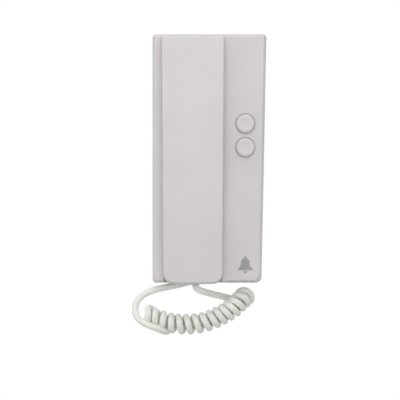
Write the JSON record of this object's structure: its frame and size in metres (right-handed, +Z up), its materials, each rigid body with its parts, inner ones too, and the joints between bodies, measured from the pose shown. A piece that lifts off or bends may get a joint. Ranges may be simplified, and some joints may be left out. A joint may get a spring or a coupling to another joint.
{
  "type": "wall telephone",
  "caption": "Slim white wall-mounted telephone station: drafted base, lift-off handset, two push buttons, sprung cradle switch and curly cord.",
  "frame": {"origin": "middle of the base's wall face, on the wall plane", "axes": "+Z up, -Y out of the wall towards the user, +Y into the wall, +X to the user's right"},
  "size_m": [0.1114, 0.0465, 0.2485],
  "materials": {
    "shell_white": "fine satin moulded ABS",
    "button_white": "satin",
    "plate_grey": "matt",
    "cord_white": "satin soft PVC",
    "soft_white": "satin soft PVC",
    "board_green": "lacquered laminate",
    "component_black": "moulded epoxy",
    "terminal_green": "matt",
    "screw_steel": "zinc plated",
    "spring_steel": "drawn wire",
    "weight_steel": "plain bar",
    "capsule_alloy": "pressed can",
    "foam_black": "closed-cell foam",
    "lever_grey": "acetal"
  },
  "bodies": {
    "base": {"wall_plate": "plate_grey", "base_cover": "shell_white", "circuit_board": "board_green", "board_components": "component_black", "terminal_block": "terminal_green", "terminal_screws": "screw_steel", "sounder": "component_black", "button_switches": "component_black", "board_screws": "screw_steel", "cover_screws": "screw_steel", "hook_pin": "screw_steel", "hook_spring": "spring_steel", "hook_switch": "component_black", "button_spring_upper": "spring_steel", "button_spring_lower": "spring_steel", "base_cord_relief": "soft_white", "cord_base_tail": "cord_white", "cord_coil": "cord_white", "cord_handset_tail": "cord_white"},
    "handset": {"handset_front_shell": "shell_white", "handset_rear_shell": "shell_white", "earpiece_gasket": "foam_black", "earpiece_capsule": "capsule_alloy", "microphone_boot": "foam_black", "microphone_capsule": "capsule_alloy", "handset_screws": "screw_steel", "handset_weight": "weight_steel", "handset_cord_grommet": "soft_white"},
    "hook_lever": {"hook_lever": "lever_grey"},
    "button_upper": {"button_cap_upper": "button_white"},
    "button_lower": {"button_cap_lower": "button_white"}
  },
  "joints": [
    {"name": "handset_lift", "type": "slide", "parent": "base", "child": "handset", "axis": [0, -0.8192, 0.5735], "range_m": [0, 0.08], "deforming": ["cord_base_tail", "cord_coil", "cord_handset_tail"]},
    {"name": "hook_hinge", "type": "hinge", "parent": "base", "child": "hook_lever", "pos_m": [-0.01365, -0.011, 0.016], "axis": [1, 0, 0], "range_deg": [0, 12], "deforming": ["hook_spring"]},
    {"name": "button_upper_press", "type": "slide", "parent": "base", "child": "button_upper", "axis": [0, 1, 0], "range_m": [0, 0.0012], "stiffness_N_per_m": 800, "springref_m": -0.0015, "deforming": ["button_spring_upper"]},
    {"name": "button_lower_press", "type": "slide", "parent": "base", "child": "button_lower", "axis": [0, 1, 0], "range_m": [0, 0.0012], "stiffness_N_per_m": 800, "springref_m": -0.0015, "deforming": ["button_spring_lower"]}
  ],
  "couplings": [
    {"joint": "hook_hinge", "follows": "handset_lift", "rad_per_m": 2.6}
  ]
}
